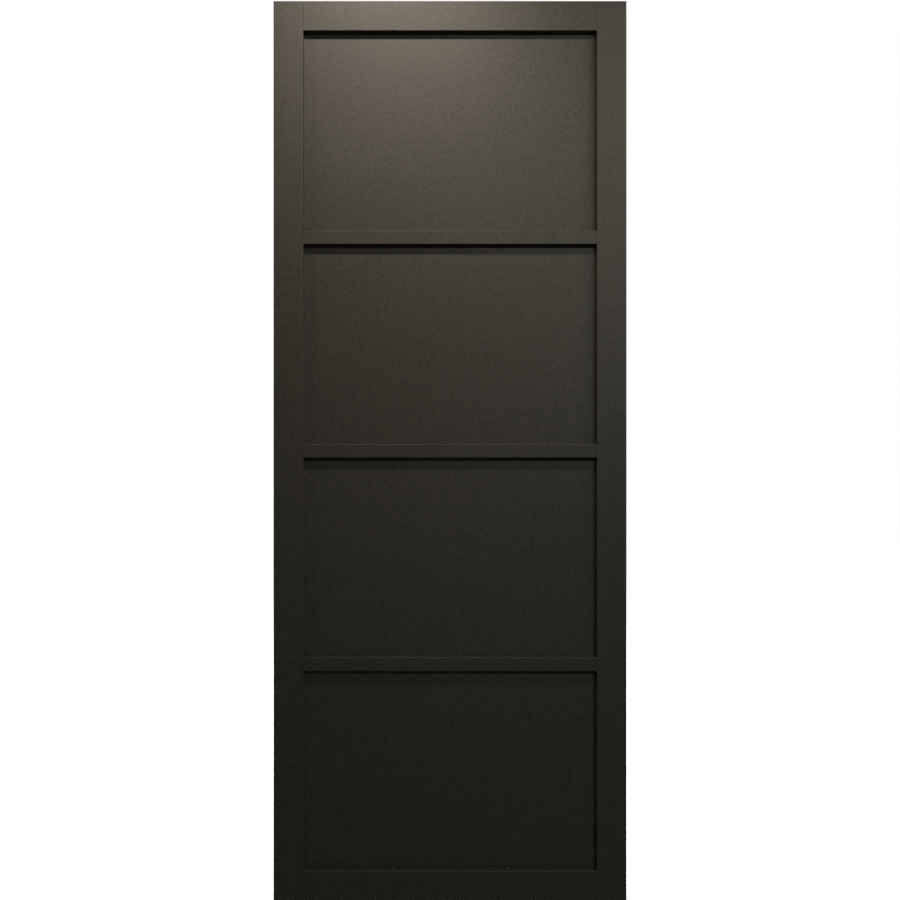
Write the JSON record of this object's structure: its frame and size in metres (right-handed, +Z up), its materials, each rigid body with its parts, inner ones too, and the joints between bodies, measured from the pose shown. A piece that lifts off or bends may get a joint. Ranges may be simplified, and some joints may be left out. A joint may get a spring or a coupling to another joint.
{
  "type": "interior panel door",
  "caption": "Black interior door leaf: flush stiles, rails and thin bars round flat recessed panels, blank for hinges and a lock.",
  "frame": {"origin": "middle of the leaf's bottom edge, midway between the front and back faces", "axes": "+Z up along the stiles, +X to the right seen from the front, the front face looks along -Y"},
  "size_m": [0.83, 0.04, 2.115],
  "materials": {
    "frame_lacquer": "satin black lacquer",
    "panel_lacquer": "satin black lacquer",
    "dowel_beech": "turned and fluted, bare"
  },
  "bodies": {
    "root": {"left_stile": "frame_lacquer", "right_stile": "frame_lacquer", "top_rail": "frame_lacquer", "upper_bar": "frame_lacquer", "middle_bar": "frame_lacquer", "lower_bar": "frame_lacquer", "bottom_rail": "frame_lacquer", "top_panel": "panel_lacquer", "upper_middle_panel": "panel_lacquer", "lower_middle_panel": "panel_lacquer", "bottom_panel": "panel_lacquer", "top_rail_left_dowels": "dowel_beech", "top_rail_right_dowels": "dowel_beech", "bottom_rail_left_dowels": "dowel_beech", "bottom_rail_right_dowels": "dowel_beech", "upper_bar_left_dowel": "dowel_beech", "upper_bar_right_dowel": "dowel_beech", "middle_bar_left_dowel": "dowel_beech", "middle_bar_right_dowel": "dowel_beech", "lower_bar_left_dowel": "dowel_beech", "lower_bar_right_dowel": "dowel_beech"}
  },
  "joints": []
}
